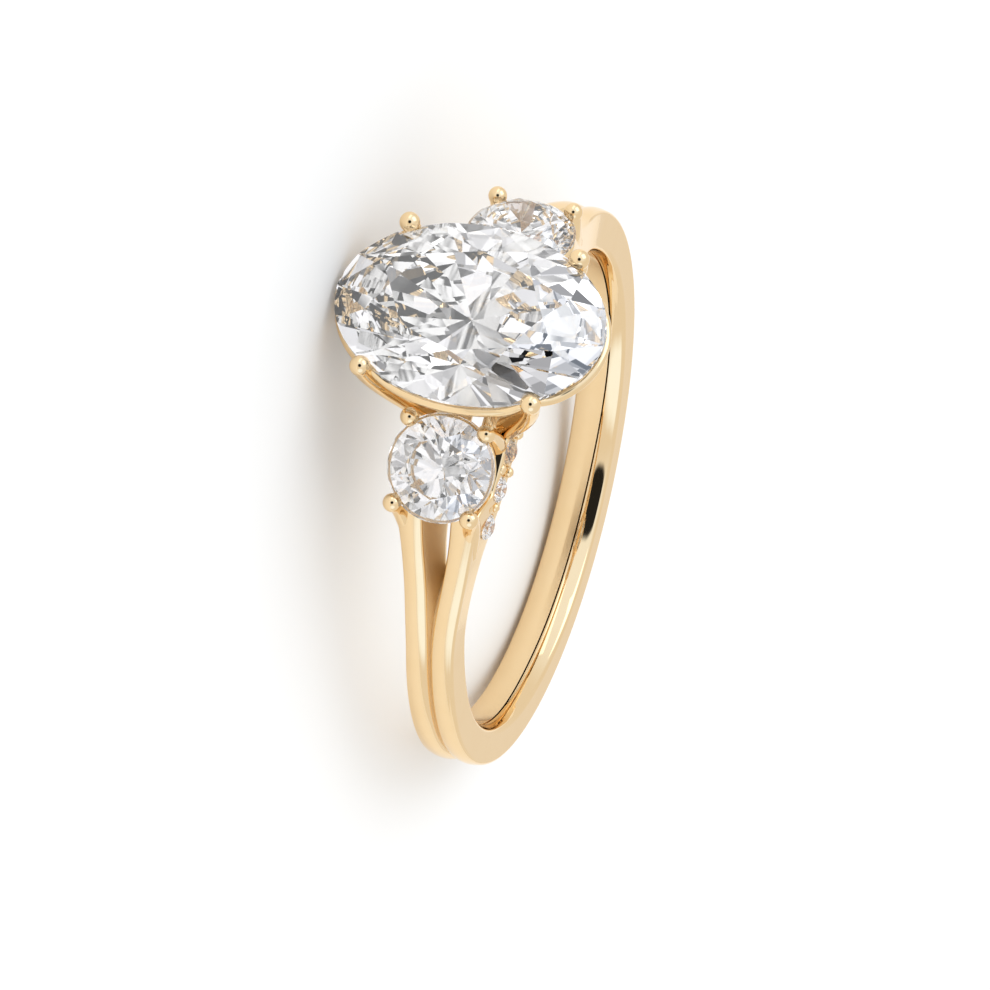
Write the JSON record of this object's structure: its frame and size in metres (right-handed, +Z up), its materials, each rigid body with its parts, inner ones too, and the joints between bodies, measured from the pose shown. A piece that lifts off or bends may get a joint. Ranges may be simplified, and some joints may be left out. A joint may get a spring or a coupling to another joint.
{
  "type": "three stone ring",
  "caption": "Three stone finger ring with a split shank, an oval centre stone, a round stone on each side and small accent stones on the shoulders.",
  "frame": {"origin": "middle of the lying ring's box, on the floor that it rests on", "axes": "+Z up from the floor, -Y toward the head with the stones, +X along the shank's width across the finger hole"},
  "size_m": [0.0204, 0.0251, 0.0096],
  "materials": {
    "yellow_gold": "polished",
    "diamond": "polished"
  },
  "bodies": {
    "root": {"gold_mount": "yellow_gold", "centre_stone": "diamond", "side_stone_front": "diamond", "side_stone_back": "diamond", "accent_stone_1": "diamond", "accent_stone_2": "diamond", "accent_stone_3": "diamond", "accent_stone_4": "diamond", "accent_stone_5": "diamond", "accent_stone_6": "diamond", "accent_stone_7": "diamond", "accent_stone_8": "diamond", "accent_stone_9": "diamond", "accent_stone_10": "diamond", "accent_stone_11": "diamond", "accent_stone_12": "diamond"}
  },
  "joints": []
}
